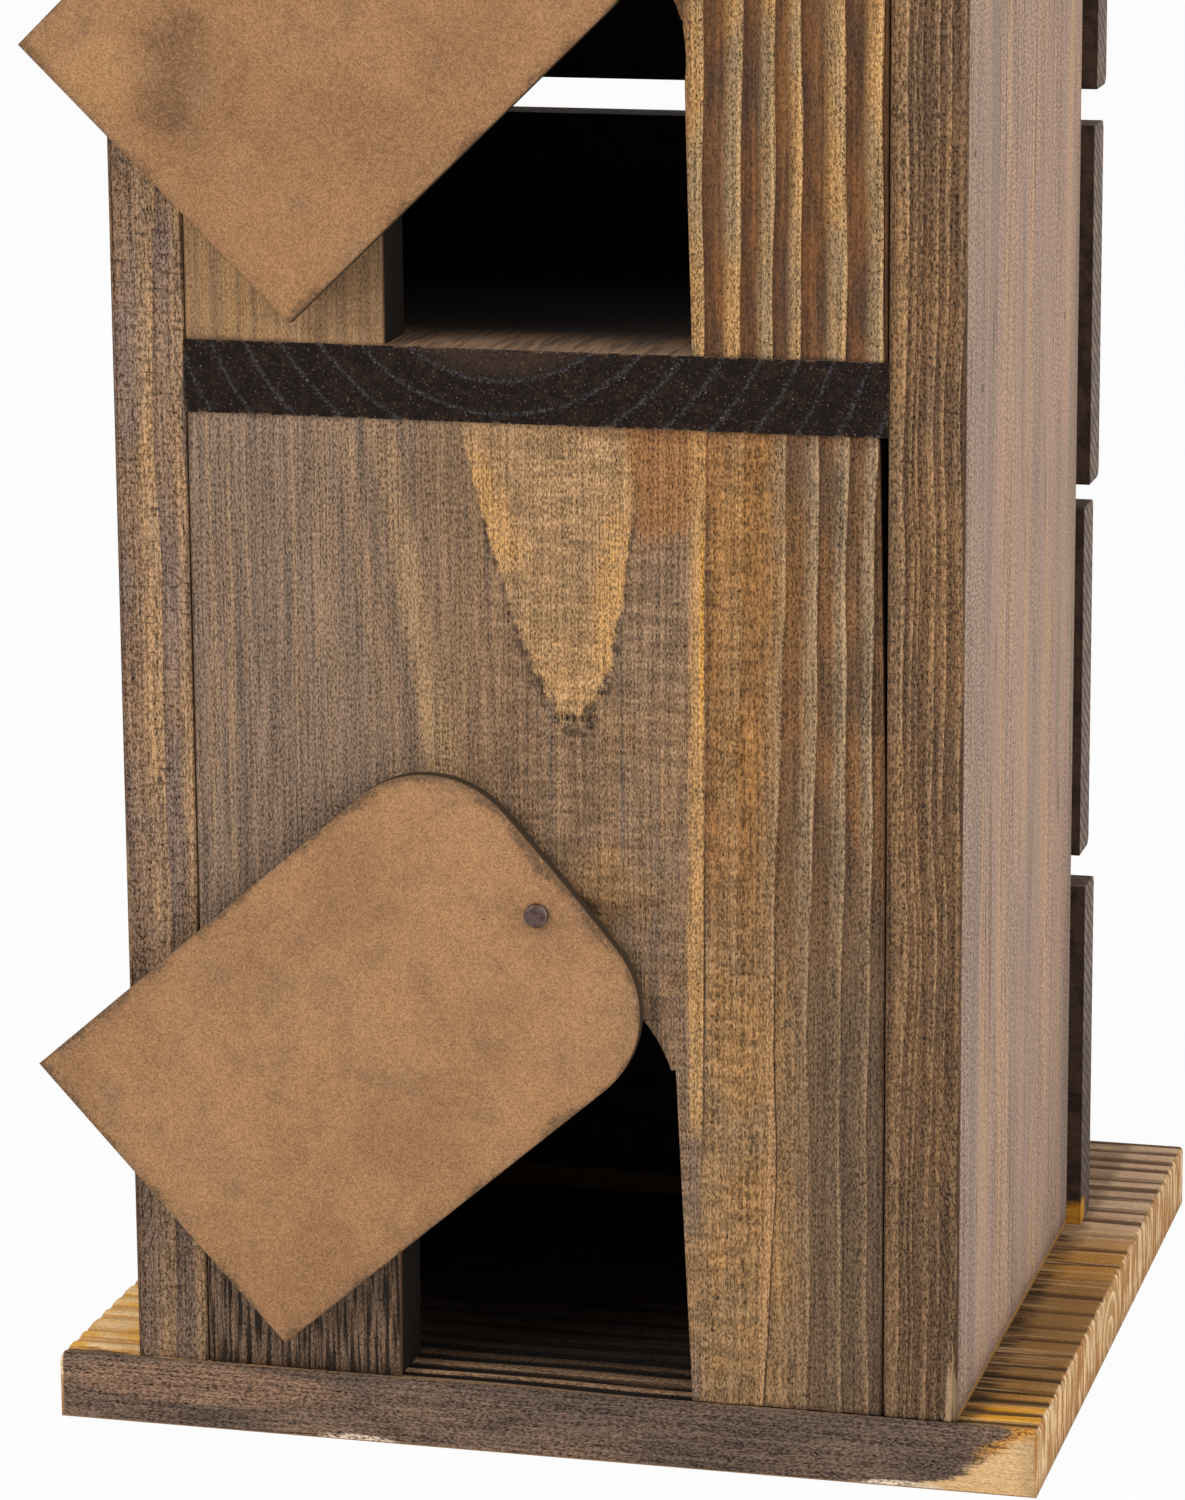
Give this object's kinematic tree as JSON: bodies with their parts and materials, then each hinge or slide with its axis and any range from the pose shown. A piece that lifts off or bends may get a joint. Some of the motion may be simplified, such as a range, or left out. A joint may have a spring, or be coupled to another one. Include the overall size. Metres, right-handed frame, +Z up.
{
  "type": "decorative birdhouse",
  "caption": "Tall wooden birdhouse with arched clean-out doorways, fibreboard covers that swivel on nails, gapped horizontal siding and a plain gable roof.",
  "frame": {"origin": "centre of the base board's underside", "axes": "+Z up towards the roof, -Y towards the clean-out side with its covers, +Y towards the entrance side with its siding, +X to the right as the clean-out side is faced"},
  "size_m": [0.1724, 0.1575, 0.3806],
  "materials": {
    "base_wood": "brushed and stained",
    "board_wood": "stained, worn",
    "panel_wood": "stained, worn",
    "end_grain_wood": "dark stained",
    "siding_wood": "dark stained, sawn",
    "fibreboard": "bare fibreboard",
    "nail_steel": "dull, darkened"
  },
  "bodies": {
    "root": {"base_board": "base_wood", "base_brads": "nail_steel", "floor_brads": "nail_steel", "left_roof_board": "board_wood", "left_side_board": "board_wood", "lower_door_panel": "panel_wood", "lower_pivot_nail": "nail_steel", "mid_floor": "end_grain_wood", "panel_brads": "nail_steel", "right_roof_board": "board_wood", "right_side_board": "board_wood", "roof_brads": "nail_steel", "siding_board_1": "siding_wood", "siding_board_2": "siding_wood", "siding_board_3": "siding_wood", "siding_board_4": "siding_wood", "siding_board_5": "siding_wood", "siding_brads": "nail_steel", "siding_gable_board": "siding_wood", "upper_door_panel": "panel_wood", "upper_pivot_nail": "nail_steel"},
    "lower_cover": {"lower_cover": "fibreboard"},
    "upper_cover": {"upper_cover": "fibreboard"}
  },
  "joints": [
    {"name": "lower_cover_swivel", "type": "hinge", "parent": "root", "child": "lower_cover", "pos_m": [0.0015, -0.0753, 0.0871], "axis": [0, 1, 0], "range_deg": [-169.2, 70.8]},
    {"name": "upper_cover_swivel", "type": "hinge", "parent": "root", "child": "upper_cover", "pos_m": [0.0015, -0.0753, 0.2481], "axis": [0, 1, 0], "range_deg": [-166.2, 73.8]}
  ]
}
